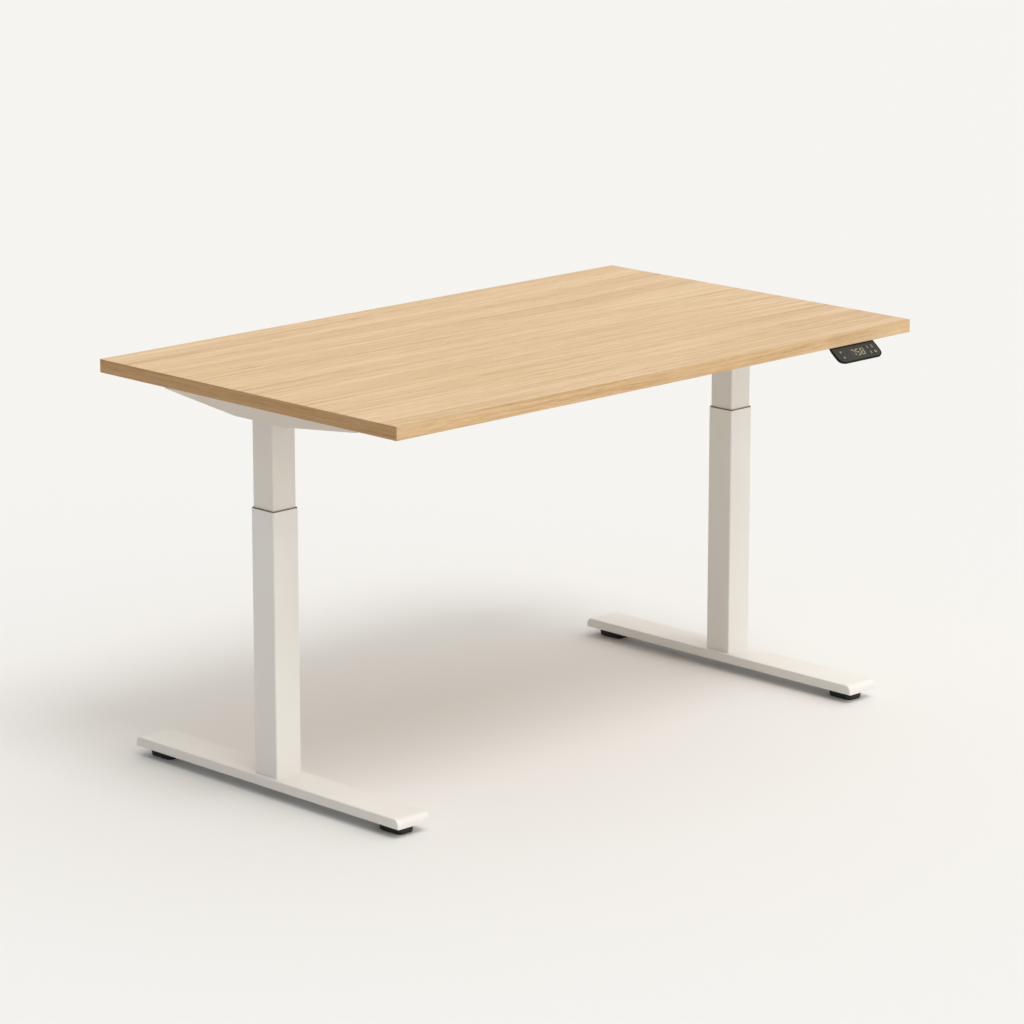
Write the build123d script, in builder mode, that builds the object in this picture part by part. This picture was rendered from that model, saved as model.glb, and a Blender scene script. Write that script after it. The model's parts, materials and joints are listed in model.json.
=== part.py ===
from build123d import *
import math
import os

os.makedirs("parts", exist_ok=True)

# A height adjustable standing desk. The floor is Z = 0, X runs to the user's right
# and -Y is the user's side. Sizes are in millimetres.

# Worktop
top_width = 1350
top_depth = 800
top_thickness = 25
surface_height = 758  # above the floor, in the stored position
top_edge_radius = 1.2

# Columns: a lower tube stands on each foot and the upper tube slides inside it
leg_spacing = 1207  # between the two columns' centre lines
outer_tube_size = 60
inner_tube_size = 55
tube_wall = 1.5
tube_corner_radius = 3
outer_tube_top = 534  # height of the lower tube's rim above the floor
lift_down = 130
lift_up = 250

# Feet
foot_length = 720
foot_width = 76
foot_thickness = 18.5
foot_clearance = 18  # underside of the foot above the floor
foot_wall = 4
foot_end_solid = 16  # length of the solid nose at each end
foot_nose_radius = 12
foot_heel_radius = 6
foot_edge_radius = 2.2
foot_plate_thickness = 3

# Levelling glides
glide_width = 44
glide_length = 64
glide_corner_radius = 14
glide_end_gap = 13  # from the end of the foot to the pad
glide_edge = 1.5
glide_stud_radius = 4
glide_stud_length = 13.5
glide_insert_radius = 8

# Side brackets: folded channels under the worktop, open at the bottom
bracket_width = 68
bracket_length = 525
bracket_depth = 35
bracket_end_depth = 14
bracket_flat = 136  # length of the deepest stretch, over the column
bracket_sheet = 2.5
bracket_end_radius = 6
bracket_blend_radius = 60

# Column head and cross rails
head_thickness = 5
head_length = 100
head_side_gap = 0.5
rail_width = 40
rail_height = 25
rail_sheet = 2
rail_end_thickness = 4
rail_offset = 100  # from the desk's middle to each rail's centre line

# Drive inside each column, from the head down
motor_radius = 23
motor_length = 74.5
motor_edge = 1
gearbox_length = 42
bearing_block_height = 17
spindle_radius = 8
spindle_socket_depth = 10
spindle_tip = 1.5  # chamfer on the lower end
collar_radius = 12
collar_height = 4
push_tube_radius = 15
push_tube_wall = 2.5
nut_height = 20
nut_spigot_length = 16
column_base_thickness = 10
guide_length = 40
guide_corner_relief = 0.5  # how much rounder or squarer a guide's corner is than the tube's
guide_lip_height = 1.8  # over the lower tube's rim
guide_lip_inset = 0.6  # in from the lower tube's faces

# Fits, all per side
sliding_gap = 0.1
running_gap = 0.05
fitting_gap = 0.05
stop_gap = 2

# Fasteners
wood_screw_radius = 2.2
wood_screw_head_radius = 4.5
wood_screw_head_height = 2.6
wood_screw_head_slope = 15  # degrees
wood_screw_depth = 16  # into the worktop
bracket_screw_shares = (0.27, 0.45)  # of the bracket's length, from the middle
box_screw_share = 0.35  # of the control box's width, from the middle
foot_screw_radius = 4
foot_screw_head_radius = 6.5
foot_screw_head_height = 5
foot_screw_spacing = 36
head_screw_radius = 2.5
head_screw_head_radius = 4.6
head_screw_spacing_x = 40
head_screw_spacing_y = 80
rail_screw_radius = 3
rail_screw_head_radius = 5.2
rail_screw_head_height = 3.3
rail_screw_spacing = 24
screw_clearance = 0.4  # radial, in a plain hole

# Control box, hung under the worktop between the rails
box_centre_x = 330
box_length = 240
box_width = 105
box_height = 34
box_wall = 2.5
box_corner_radius = 5
box_plate_thickness = 2
box_ear_length = 16
board_thickness = 1.6
board_margin = 6
board_stand_off = 6
board_post_spread = 0.8  # of the board, between the posts
component_shares = ((-0.3, 0.12), (0, 0.25), (0.3, 0.12))  # of the board: place, length
component_width_share = 0.7
component_height = 13.5

# Connectors in the control box's left end
inlet_width = 30
inlet_height = 22
inlet_depth = 18
inlet_wall = 3
inlet_flange = 2
socket_width = 15
socket_height = 12
socket_depth = 12
socket_wall = 2
socket_pitch = 18
socket_first_y = 1
inlet_y = -30

# Hand control under the front edge, its face sloping down and forward
handset_centre_x = 505
handset_width = 123
handset_reach = 30  # how far it stands proud of the worktop's front edge
handset_tilt = 38.7
handset_gap = 0.5  # from the top of the face to the worktop
handset_ledge_depth = 5  # a ledge behind the face, against the worktop, closes that gap
handset_ledge_root = (0.5, 2)  # inside the slab's top rim, back from the face's edge and down
handset_edge_height = 3  # straight edge under the face
handset_back_height = 5  # behind that, drawn in on all sides
handset_back_slope = 45
handset_corner_radius = 16
handset_rim = 2.5
handset_neck_width = 64
handset_neck_depth = 13
handset_neck_length = 24
handset_neck_start = 4
handset_neck_root = (9, 9.5)  # inside the slab, forward of the edge and down
handset_tab_width = 104
handset_tab_length = 28
handset_tab_thickness = 3.5
handset_screw_spacing = 88
faceplate_thickness = 1.2
pocket_step = 1.5
pocket_depth = 5.1
handset_board_thickness = 1.2
switch_size = 6
switch_height = 0.6
display_width = 44
display_share = 0.6  # of the pocket's height
display_x = 1
display_border = 1
gland_radius = 3.5
gland_length = 8
gland_slope = 6

# Keys, across the face from its middle
key_travel = 0.6
key_proud = 0.4
key_gap = 0.3
key_edge = 0.3
key_corner_radius = 1
key_flange = 0.8
key_flange_thickness = 1
key_stem_size = 5
key_row_share = 0.22  # of the pocket's height, from the middle to each row
drive_key_x = -43
drive_key_width = 12
drive_key_share = 0.33
preset_key_inner_x = 33
preset_key_outer_x = 46
preset_key_width = 10
preset_key_share = 0.3

# Worked out from the above
sides = {"left": -1, "right": 1}
ends = {"front": -1, "rear": 1}
desk_y = handset_reach / 2  # the origin is the middle of the whole desk's floor outline
underside = surface_height - top_thickness
leg_x = leg_spacing / 2
foot_top = foot_clearance + foot_thickness
web_bottom = underside - bracket_sheet
head_bottom = web_bottom - head_thickness
outer_bore = outer_tube_size - 2 * tube_wall
inner_bore = inner_tube_size - 2 * tube_wall
bore_corner_radius = tube_corner_radius - tube_wall
column_base_top = foot_top + column_base_thickness
inner_tube_bottom = column_base_top + lift_down + stop_gap
motor_bottom = head_bottom - motor_length
gearbox_bottom = motor_bottom - gearbox_length
bearing_bottom = gearbox_bottom - bearing_block_height
nut_top = bearing_bottom - collar_height - lift_down - stop_gap
nut_bottom = nut_top - nut_height
glide_y = foot_length / 2 - glide_end_gap - glide_length / 2
bracket_inner_x = leg_x - bracket_width / 2
tilt = math.radians(handset_tilt)
handset_slope = handset_reach / math.cos(tilt)
handset_middle = -handset_slope / 2
handset_front = -top_depth / 2  # the worktop's front edge, from the desk's middle
neck_rear = handset_front + handset_neck_length
ledge_bottom = underside - handset_gap - handset_ledge_root[1]
pocket_height = handset_slope - 2 * (handset_rim + pocket_step)
key_row = pocket_height * key_row_share
drive_key_height = pocket_height * drive_key_share
preset_key_height = pocket_height * preset_key_share
display_height = pocket_height * display_share
box_bottom = underside - box_plate_thickness - box_height
wall_x = box_centre_x - box_length / 2
connector_height = box_bottom + box_height / 2


# Planes. Each is placed from the desk's middle, so points on it are the desk's own.
def level(height, x=0, y=0):
    """Horizontal plane, its normal up."""
    return Plane(origin=(x, desk_y + y, height), x_dir=(1, 0, 0), z_dir=(0, 0, 1))


def side_section(x):
    """Upright plane across the desk: local x to the rear, local y up, normal to the right."""
    return Plane(origin=(x, desk_y, 0), x_dir=(0, 1, 0), z_dir=(1, 0, 0))


def inward_section(side, x):
    """Upright plane facing the desk's middle from one side."""
    return Plane(origin=(x, desk_y, 0), x_dir=(0, -side, 0), z_dir=(-side, 0, 0))


face_plane = Plane(
    origin=(handset_centre_x, desk_y + handset_front, underside - handset_gap),
    x_dir=(1, 0, 0),
    z_dir=(0, -math.sin(tilt), math.cos(tilt)),
)


def save(builder, name):
    """Label a finished piece and write it."""
    builder.part.label = name
    export_step(builder.part, f"parts/{name}.step")


# Where the wood screws go into the underside, from the desk's middle
bracket_screw_points = [
    (side * leg_x, end * along)
    for side in sides.values()
    for end in ends.values()
    for along in (bracket_length * share for share in bracket_screw_shares)
]
box_screw_points = [
    (box_centre_x + end * (box_length + box_ear_length) / 2, across * box_width * box_screw_share)
    for end in ends.values()
    for across in ends.values()
]
handset_screw_points = [
    (handset_centre_x + end * handset_screw_spacing / 2, neck_rear + handset_tab_length / 2)
    for end in ends.values()
]


def make_desktop():
    with BuildPart() as desktop:
        with BuildSketch(level(underside)):
            Rectangle(top_width, top_depth)
        extrude(amount=top_thickness)
        fillet(desktop.edges().filter_by(Axis.Z), radius=top_edge_radius)
        fillet(
            desktop.faces().sort_by(Axis.Z)[-1].edges()
            + desktop.faces().sort_by(Axis.Z)[0].edges(),
            radius=top_edge_radius / 2,
        )
        with BuildSketch(level(underside)):
            with Locations(*bracket_screw_points, *box_screw_points, *handset_screw_points):
                Circle(wood_screw_radius + fitting_gap)
        extrude(amount=wood_screw_depth + fitting_gap, mode=Mode.SUBTRACT)
    save(desktop, "desktop")


def make_foot(name, side):
    with BuildPart() as foot:
        with BuildSketch(side_section(side * leg_x - foot_width / 2)) as profile:
            with Locations((0, foot_clearance + foot_thickness / 2)):
                Rectangle(foot_length, foot_thickness)
            corners = profile.vertices().group_by(Axis.Y)
            fillet(corners[-1], radius=foot_nose_radius)
            fillet(corners[0], radius=foot_heel_radius)
        extrude(amount=foot_width)
        fillet(foot.faces().filter_by(Axis.X).edges(), radius=foot_edge_radius)
        with BuildSketch(level(foot_clearance, side * leg_x)):
            Rectangle(foot_width - 2 * foot_wall, foot_length - 2 * foot_end_solid)
        extrude(amount=foot_thickness - foot_wall, mode=Mode.SUBTRACT)
        with BuildSketch(level(foot_clearance, side * leg_x)):
            with GridLocations(foot_screw_spacing, foot_screw_spacing, 2, 2):
                Circle(foot_screw_radius + screw_clearance)
        extrude(amount=foot_thickness, mode=Mode.SUBTRACT)
    save(foot, f"{name}_foot")


def make_foot_plate(name, side):
    with BuildPart() as plate:
        with BuildSketch(level(foot_clearance, side * leg_x)):
            Rectangle(
                foot_width - 2 * foot_wall - 2 * fitting_gap,
                foot_length - 2 * foot_end_solid - 2 * fitting_gap,
            )
            with GridLocations(foot_screw_spacing, foot_screw_spacing, 2, 2):
                Circle(foot_screw_head_radius + screw_clearance, mode=Mode.SUBTRACT)
            with GridLocations(0, 2 * glide_y, 1, 2):
                Circle(glide_insert_radius + fitting_gap, mode=Mode.SUBTRACT)
        extrude(amount=foot_plate_thickness)
    save(plate, f"{name}_foot_plate")


def make_glide(name, side, end):
    with BuildPart() as glide:
        with BuildSketch(level(0, side * leg_x, end * glide_y)):
            RectangleRounded(glide_width, glide_length, glide_corner_radius)
        extrude(amount=foot_clearance)
        chamfer(glide.faces().sort_by(Axis.Z)[0].edges(), length=glide_edge)
        fillet(glide.faces().sort_by(Axis.Z)[-1].edges(), radius=glide_edge)
        with BuildSketch(level(foot_clearance, side * leg_x, end * glide_y)):
            Circle(glide_stud_radius)
        extrude(amount=glide_stud_length)
    save(glide, name)


def make_glide_inserts():
    with BuildPart() as inserts:
        with BuildSketch(level(foot_clearance)):
            with GridLocations(leg_spacing, 2 * glide_y, 2, 2):
                Circle(glide_insert_radius)
                Circle(glide_stud_radius + running_gap, mode=Mode.SUBTRACT)
        extrude(amount=foot_thickness - foot_wall)
    save(inserts, "glide_inserts")


def make_foot_screws():
    with BuildPart() as screws:
        head_bottom_z = foot_top - foot_wall - foot_screw_head_height
        for side in sides.values():
            with BuildSketch(level(head_bottom_z, side * leg_x)):
                with GridLocations(foot_screw_spacing, foot_screw_spacing, 2, 2):
                    Circle(foot_screw_head_radius)
            extrude(amount=foot_screw_head_height)
            with BuildSketch(level(foot_top - foot_wall, side * leg_x)):
                with GridLocations(foot_screw_spacing, foot_screw_spacing, 2, 2):
                    Circle(foot_screw_radius)
            extrude(amount=foot_wall + column_base_thickness - stop_gap)
    save(screws, "foot_screws")


def make_column_base(name, side):
    with BuildPart() as base:
        with BuildSketch(level(foot_top, side * leg_x)):
            RectangleRounded(outer_bore, outer_bore, tube_corner_radius)
            with GridLocations(foot_screw_spacing, foot_screw_spacing, 2, 2):
                Circle(foot_screw_radius + fitting_gap, mode=Mode.SUBTRACT)
        extrude(amount=column_base_thickness)
    save(base, f"{name}_column_base")


def make_square_tube(name, side, size, bottom, top):
    bore = size - 2 * tube_wall
    with BuildPart() as tube:
        with BuildSketch(level(bottom, side * leg_x)):
            RectangleRounded(size, size, tube_corner_radius)
            RectangleRounded(bore, bore, bore_corner_radius, mode=Mode.SUBTRACT)
        extrude(amount=top - bottom)
    save(tube, name)


def make_guide(name, side, outside, inside, outer_radius, inner_radius, bottom, lip_size=0):
    """Thin square sleeve in the gap between the two tubes; a lip on top if it has a size."""
    with BuildPart() as guide:
        with BuildSketch(level(bottom, side * leg_x)):
            RectangleRounded(outside, outside, outer_radius)
            RectangleRounded(inside, inside, inner_radius, mode=Mode.SUBTRACT)
        extrude(amount=guide_length)
        if lip_size:
            with BuildSketch(level(bottom + guide_length, side * leg_x)):
                RectangleRounded(lip_size, lip_size, tube_corner_radius)
                RectangleRounded(inside, inside, inner_radius, mode=Mode.SUBTRACT)
            extrude(amount=guide_lip_height)
    save(guide, name)


def make_push_tube(name, side):
    with BuildPart() as tube:
        with BuildSketch(level(column_base_top, side * leg_x)):
            Circle(push_tube_radius)
            Circle(push_tube_radius - push_tube_wall, mode=Mode.SUBTRACT)
        extrude(amount=nut_bottom - column_base_top)
    save(tube, f"{name}_push_tube")


def make_spindle_nut(name, side):
    with BuildPart() as nut:
        with BuildSketch(level(nut_bottom, side * leg_x)):
            Circle(push_tube_radius)
        extrude(amount=nut_height)
        with BuildSketch(level(nut_bottom, side * leg_x)):
            Circle(push_tube_radius - push_tube_wall - fitting_gap)
        extrude(amount=-nut_spigot_length)
        with BuildSketch(level(nut_top, side * leg_x)):
            Circle(spindle_radius + running_gap)
        extrude(amount=-(nut_height + nut_spigot_length), mode=Mode.SUBTRACT)
    save(nut, f"{name}_spindle_nut")


def make_column_head(name, side):
    with BuildPart() as head:
        with BuildSketch(level(head_bottom, side * leg_x)):
            Rectangle(bracket_width - 2 * bracket_sheet - 2 * head_side_gap, head_length)
            with GridLocations(head_screw_spacing_x, head_screw_spacing_y, 2, 2):
                Circle(head_screw_radius + fitting_gap, mode=Mode.SUBTRACT)
        extrude(amount=head_thickness)
    save(head, f"{name}_column_head")


def make_motor(name, side):
    with BuildPart() as motor:
        with BuildSketch(level(motor_bottom, side * leg_x)):
            Circle(motor_radius)
        extrude(amount=motor_length)
        chamfer(motor.faces().sort_by(Axis.Z)[-1].edges(), length=motor_edge)
    save(motor, f"{name}_motor")


def make_gearbox(name, side):
    with BuildPart() as gearbox:
        with BuildSketch(level(gearbox_bottom, side * leg_x)):
            Circle(motor_radius)
        extrude(amount=gearbox_length)
        with BuildSketch(level(gearbox_bottom, side * leg_x)):
            Circle(spindle_radius + running_gap)
        extrude(amount=spindle_socket_depth + stop_gap, mode=Mode.SUBTRACT)
    save(gearbox, f"{name}_gearbox")


def make_spindle_bearing(name, side):
    with BuildPart() as bearing:
        with BuildSketch(level(bearing_bottom, side * leg_x)):
            RectangleRounded(inner_bore, inner_bore, tube_corner_radius)
            Circle(spindle_radius + running_gap, mode=Mode.SUBTRACT)
        extrude(amount=bearing_block_height)
    save(bearing, f"{name}_spindle_bearing")


def make_spindle(name, side):
    spindle_bottom = column_base_top + lift_down + stop_gap
    spindle_top = gearbox_bottom + spindle_socket_depth
    with BuildPart() as spindle:
        with BuildSketch(level(spindle_bottom, side * leg_x)):
            Circle(spindle_radius)
        extrude(amount=spindle_top - spindle_bottom)
        chamfer(spindle.faces().sort_by(Axis.Z)[0].edges(), length=spindle_tip)
        with BuildSketch(level(bearing_bottom, side * leg_x)):
            Circle(collar_radius)
        extrude(amount=-collar_height)
    save(spindle, f"{name}_spindle")


def make_side_bracket(name, side):
    half_length = bracket_length / 2
    half_flat = bracket_flat / 2
    with BuildPart() as bracket:
        with BuildSketch(side_section(side * leg_x - bracket_width / 2)) as profile:
            with BuildLine():
                Polyline(
                    (-half_length, underside),
                    (-half_length, underside - bracket_end_depth),
                    (-half_flat, underside - bracket_depth),
                    (half_flat, underside - bracket_depth),
                    (half_length, underside - bracket_end_depth),
                    (half_length, underside),
                    close=True,
                )
            make_face()
            rows = profile.vertices().group_by(Axis.Y)
            fillet(rows[0], radius=bracket_blend_radius)
            end_corners = profile.vertices().filter_by(
                lambda corner: abs(corner.Y - underside + bracket_end_depth) < 0.01
            )
            fillet(end_corners, radius=bracket_end_radius)
        extrude(amount=bracket_width)
        with BuildSketch(level(web_bottom, side * leg_x)):
            Rectangle(bracket_width - 2 * bracket_sheet, bracket_length)
        extrude(amount=-bracket_depth, mode=Mode.SUBTRACT)
        with Locations(level(underside, side * leg_x)):
            with GridLocations(head_screw_spacing_x, head_screw_spacing_y, 2, 2):
                CounterSinkHole(
                    head_screw_radius + screw_clearance / 2,
                    head_screw_head_radius + screw_clearance / 2,
                    depth=bracket_sheet,
                    counter_sink_angle=90,
                )
        with BuildSketch(level(web_bottom)):
            with Locations(*[point for point in bracket_screw_points if point[0] * side > 0]):
                Circle(wood_screw_radius + screw_clearance)
        extrude(amount=bracket_sheet, mode=Mode.SUBTRACT)
        with BuildSketch(inward_section(side, side * (bracket_inner_x + bracket_sheet))):
            with Locations(*rail_screw_points):
                Circle(rail_screw_radius + screw_clearance)
        extrude(amount=bracket_sheet, mode=Mode.SUBTRACT)
    save(bracket, f"{name}_side_bracket")


# Rail screws pass through the bracket's inner flange, on a plane across the desk
rail_screw_points = [
    (end * rail_offset + step * rail_screw_spacing / 2, web_bottom - rail_height / 2)
    for end in ends.values()
    for step in ends.values()
]


def make_rail(name, end):
    with BuildPart() as rail:
        with BuildSketch(level(web_bottom, 0, end * rail_offset)):
            Rectangle(2 * bracket_inner_x, rail_width)
        extrude(amount=-rail_height)
        with BuildSketch(level(web_bottom - rail_sheet, 0, end * rail_offset)):
            Rectangle(
                2 * bracket_inner_x - 2 * rail_end_thickness,
                rail_width - 2 * rail_sheet,
            )
        extrude(amount=-rail_height, mode=Mode.SUBTRACT)
        for side in sides.values():
            with BuildSketch(inward_section(side, side * bracket_inner_x)):
                with Locations(*rail_screw_points):
                    Circle(rail_screw_radius + fitting_gap)
            extrude(amount=rail_end_thickness, mode=Mode.SUBTRACT)
    save(rail, f"{name}_rail")


def make_rail_screws():
    with BuildPart() as screws:
        for side in sides.values():
            seat_x = bracket_inner_x + bracket_sheet
            with BuildSketch(inward_section(side, side * seat_x)):
                with Locations(*rail_screw_points):
                    Circle(rail_screw_radius)
            extrude(amount=bracket_sheet + rail_end_thickness + stop_gap)
            with BuildSketch(inward_section(side, side * seat_x)):
                with Locations(*rail_screw_points):
                    Circle(rail_screw_head_radius)
            extrude(amount=-rail_screw_head_height)
    save(screws, "rail_screws")


def make_head_screws():
    with BuildPart() as screws:
        cone_height = head_screw_head_radius - head_screw_radius
        for side in sides.values():
            with Locations(level(underside, side * leg_x)):
                with GridLocations(head_screw_spacing_x, head_screw_spacing_y, 2, 2):
                    Cone(
                        head_screw_radius,
                        head_screw_head_radius,
                        cone_height,
                        align=(Align.CENTER, Align.CENTER, Align.MAX),
                    )
                    Cylinder(
                        head_screw_radius,
                        bracket_sheet + head_thickness + stop_gap,
                        align=(Align.CENTER, Align.CENTER, Align.MAX),
                    )
    save(screws, "column_head_screws")


def make_wood_screws(name, points, seat):
    """Pan head screws seated under a sheet, running up into the worktop."""
    with BuildPart() as screws:
        with BuildSketch(level(seat)):
            with Locations(*points):
                Circle(wood_screw_radius)
        extrude(amount=underside + wood_screw_depth - seat)
        with BuildSketch(level(seat)):
            with Locations(*points):
                Circle(wood_screw_head_radius)
        extrude(amount=-wood_screw_head_height, taper=wood_screw_head_slope)
    save(screws, name)


def make_control_box_plate():
    with BuildPart() as plate:
        with BuildSketch(level(underside - box_plate_thickness)):
            with Locations((box_centre_x, 0)):
                RectangleRounded(
                    box_length + 2 * box_ear_length, box_width, box_corner_radius
                )
            with Locations(*box_screw_points):
                Circle(wood_screw_radius + screw_clearance, mode=Mode.SUBTRACT)
        extrude(amount=box_plate_thickness)
    save(plate, "control_box_plate")


def make_control_box_cover():
    with BuildPart() as cover:
        with BuildSketch(level(box_bottom, box_centre_x)):
            RectangleRounded(box_length, box_width, box_corner_radius)
        extrude(amount=box_height)
        fillet(cover.faces().sort_by(Axis.Z)[0].edges(), radius=box_wall)
        with BuildSketch(level(box_bottom + box_wall, box_centre_x)):
            RectangleRounded(
                box_length - 2 * box_wall,
                box_width - 2 * box_wall,
                box_corner_radius - box_wall,
            )
        extrude(amount=box_height, mode=Mode.SUBTRACT)
        with BuildSketch(side_section(wall_x)):
            with Locations((inlet_y, connector_height)):
                Rectangle(inlet_width + 2 * fitting_gap, inlet_height + 2 * fitting_gap)
            with Locations(*socket_points):
                Rectangle(socket_width + 2 * fitting_gap, socket_height + 2 * fitting_gap)
        extrude(amount=box_wall, mode=Mode.SUBTRACT)
    save(cover, "control_box_cover")


# Connector centres on the control box's end wall
socket_points = [
    (socket_first_y + place * socket_pitch, connector_height) for place in range(3)
]


def make_mains_inlet():
    with BuildPart() as inlet:
        with BuildSketch(side_section(wall_x)):
            with Locations((inlet_y, connector_height)):
                Rectangle(inlet_width, inlet_height)
        extrude(amount=inlet_depth)
        with BuildSketch(side_section(wall_x)):
            with Locations((inlet_y, connector_height)):
                RectangleRounded(
                    inlet_width + 2 * inlet_flange, inlet_height + 2 * inlet_flange, inlet_flange
                )
        extrude(amount=-inlet_flange)
        with BuildSketch(side_section(wall_x - inlet_flange)):
            with Locations((inlet_y, connector_height)):
                Rectangle(inlet_width - 2 * inlet_wall, inlet_height - 2 * inlet_wall)
        extrude(amount=inlet_depth + inlet_flange - inlet_wall, mode=Mode.SUBTRACT)
    save(inlet, "mains_inlet")


def make_control_sockets():
    with BuildPart() as sockets:
        with BuildSketch(side_section(wall_x)):
            with Locations(*socket_points):
                Rectangle(socket_width, socket_height)
        extrude(amount=socket_depth)
        with BuildSketch(side_section(wall_x)):
            with Locations(*socket_points):
                Rectangle(socket_width - 2 * socket_wall, socket_height - 2 * socket_wall)
        extrude(amount=socket_depth - socket_wall, mode=Mode.SUBTRACT)
    save(sockets, "control_sockets")


def make_control_board():
    board_left = wall_x + inlet_depth + board_margin
    board_length = box_length - inlet_depth - board_margin - box_wall - board_margin
    board_middle = board_left + board_length / 2
    board_bottom = box_bottom + box_wall + board_stand_off
    board_width = box_width - 2 * box_wall - 2 * board_margin
    with BuildPart() as board:
        with BuildSketch(level(board_bottom, board_middle)):
            Rectangle(board_length, board_width)
        extrude(amount=board_thickness)
        with BuildSketch(level(board_bottom, board_middle)):
            with GridLocations(
                board_length * board_post_spread, board_width * board_post_spread, 2, 2
            ):
                Circle(board_margin / 2)
        extrude(amount=-board_stand_off)
        with BuildSketch(level(board_bottom + board_thickness, board_middle)):
            for place, share in component_shares:
                with Locations((board_length * place, 0)):
                    Rectangle(board_length * share, board_width * component_width_share)
        extrude(amount=component_height)
    save(board, "control_board")


def draw_face_outline(sketch, inset):
    """Draw the hand control's face into a sketch through its middle, set in from the edge."""
    Rectangle(handset_width - 2 * inset, handset_slope - 2 * inset)
    fillet(sketch.vertices().group_by(Axis.Y)[0], radius=handset_corner_radius - inset)


keys = {
    "key_up": (drive_key_x, key_row, drive_key_width, drive_key_height),
    "key_down": (drive_key_x, -key_row, drive_key_width, drive_key_height),
    "key_preset_1": (preset_key_inner_x, key_row, preset_key_width, preset_key_height),
    "key_preset_2": (preset_key_outer_x, key_row, preset_key_width, preset_key_height),
    "key_preset_3": (preset_key_inner_x, -key_row, preset_key_width, preset_key_height),
    "key_memory": (preset_key_outer_x, -key_row, preset_key_width, preset_key_height),
}


def face_level(depth):
    """Plane parallel to the hand control's face, below it, through the face's middle."""
    return face_plane.offset(-depth).shift_origin(
        face_plane.offset(-depth).from_local_coords((0, handset_middle, 0))
    )


def make_handset_housing():
    with BuildPart() as housing:
        with BuildSketch(face_level(0)) as edge:
            draw_face_outline(edge, 0)
        extrude(amount=-handset_edge_height)
        with BuildSketch(face_level(handset_edge_height)) as back:
            draw_face_outline(back, 0)
        extrude(amount=-handset_back_height, taper=handset_back_slope)
        with BuildSketch(side_section(handset_centre_x - handset_width / 2)):
            with BuildLine():
                Polyline(
                    (handset_front, underside - handset_gap),
                    (handset_front + top_edge_radius, underside),
                    (handset_front + handset_ledge_depth, underside),
                    (handset_front + handset_ledge_root[0], ledge_bottom),
                    close=True,
                )
            make_face()
        extrude(amount=handset_width)
        with BuildSketch(side_section(handset_centre_x - handset_neck_width / 2)):
            with BuildLine():
                Polyline(
                    (handset_front + handset_neck_start, underside),
                    (handset_front - handset_neck_root[0], underside - handset_neck_root[1]),
                    (neck_rear, underside - handset_neck_depth),
                    (neck_rear, underside),
                    close=True,
                )
            make_face()
        extrude(amount=handset_neck_width)
        with BuildSketch(level(underside, handset_centre_x, neck_rear)):
            Rectangle(
                handset_tab_width, handset_tab_length, align=(Align.CENTER, Align.MIN)
            )
        extrude(amount=-handset_tab_thickness)
        with BuildSketch(face_level(0)) as rebate:
            draw_face_outline(rebate, handset_rim)
        extrude(amount=-faceplate_thickness, mode=Mode.SUBTRACT)
        with BuildSketch(face_level(0)) as pocket:
            draw_face_outline(pocket, handset_rim + pocket_step)
        extrude(amount=-pocket_depth, mode=Mode.SUBTRACT)
        with BuildSketch(level(underside)):
            with Locations(*handset_screw_points):
                Circle(wood_screw_radius + screw_clearance)
        extrude(amount=-handset_tab_thickness, mode=Mode.SUBTRACT)
    save(housing, "handset_housing")


def make_handset_faceplate():
    with BuildPart() as plate:
        with BuildSketch(face_level(0)) as outline:
            draw_face_outline(outline, handset_rim + fitting_gap)
        extrude(amount=-faceplate_thickness)
        with BuildSketch(face_level(0)):
            with Locations((display_x, 0)):
                Rectangle(display_width, display_height)
            for across, up, width, height in keys.values():
                with Locations((across, up)):
                    RectangleRounded(
                        width + 2 * key_gap, height + 2 * key_gap, key_corner_radius + key_gap
                    )
        extrude(amount=-faceplate_thickness, mode=Mode.SUBTRACT)
    save(plate, "handset_faceplate")


def make_handset_display():
    with BuildPart() as display:
        with BuildSketch(face_level(0)):
            with Locations((display_x, 0)):
                Rectangle(display_width - 2 * fitting_gap, display_height - 2 * fitting_gap)
        extrude(amount=-faceplate_thickness)
        with BuildSketch(face_level(faceplate_thickness)):
            with Locations((display_x, 0)):
                Rectangle(display_width + 2 * display_border, display_height + 2 * display_border)
        extrude(amount=-(pocket_depth - handset_board_thickness - faceplate_thickness))
    save(display, "handset_display")


def make_handset_board():
    with BuildPart() as board:
        with BuildSketch(face_level(pocket_depth)) as outline:
            draw_face_outline(outline, handset_rim + pocket_step + key_gap)
        extrude(amount=handset_board_thickness)
        with BuildSketch(face_level(pocket_depth - handset_board_thickness)):
            for across, up, _, _ in keys.values():
                with Locations((across, up)):
                    Rectangle(switch_size, switch_size)
        extrude(amount=switch_height)
    save(board, "handset_board")


def make_key(name):
    across, up, width, height = keys[name]
    flange_bottom = faceplate_thickness + key_flange_thickness
    switch_top = pocket_depth - handset_board_thickness - switch_height
    stem_bottom = switch_top - key_travel - sliding_gap
    pressing = Axis(face_plane.origin, face_plane.z_dir)
    with BuildPart() as key:
        with BuildSketch(face_level(faceplate_thickness)):
            with Locations((across, up)):
                RectangleRounded(width, height, key_corner_radius)
        extrude(amount=faceplate_thickness + key_proud)
        fillet(key.faces().sort_by(pressing)[-1].edges(), radius=key_edge)
        with BuildSketch(face_level(flange_bottom)):
            with Locations((across, up)):
                Rectangle(width + 2 * key_flange, height + 2 * key_flange)
        extrude(amount=key_flange_thickness)
        with BuildSketch(face_level(stem_bottom)):
            with Locations((across, up)):
                Rectangle(key_stem_size, key_stem_size)
        extrude(amount=stem_bottom - flange_bottom)
    save(key, name)


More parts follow.
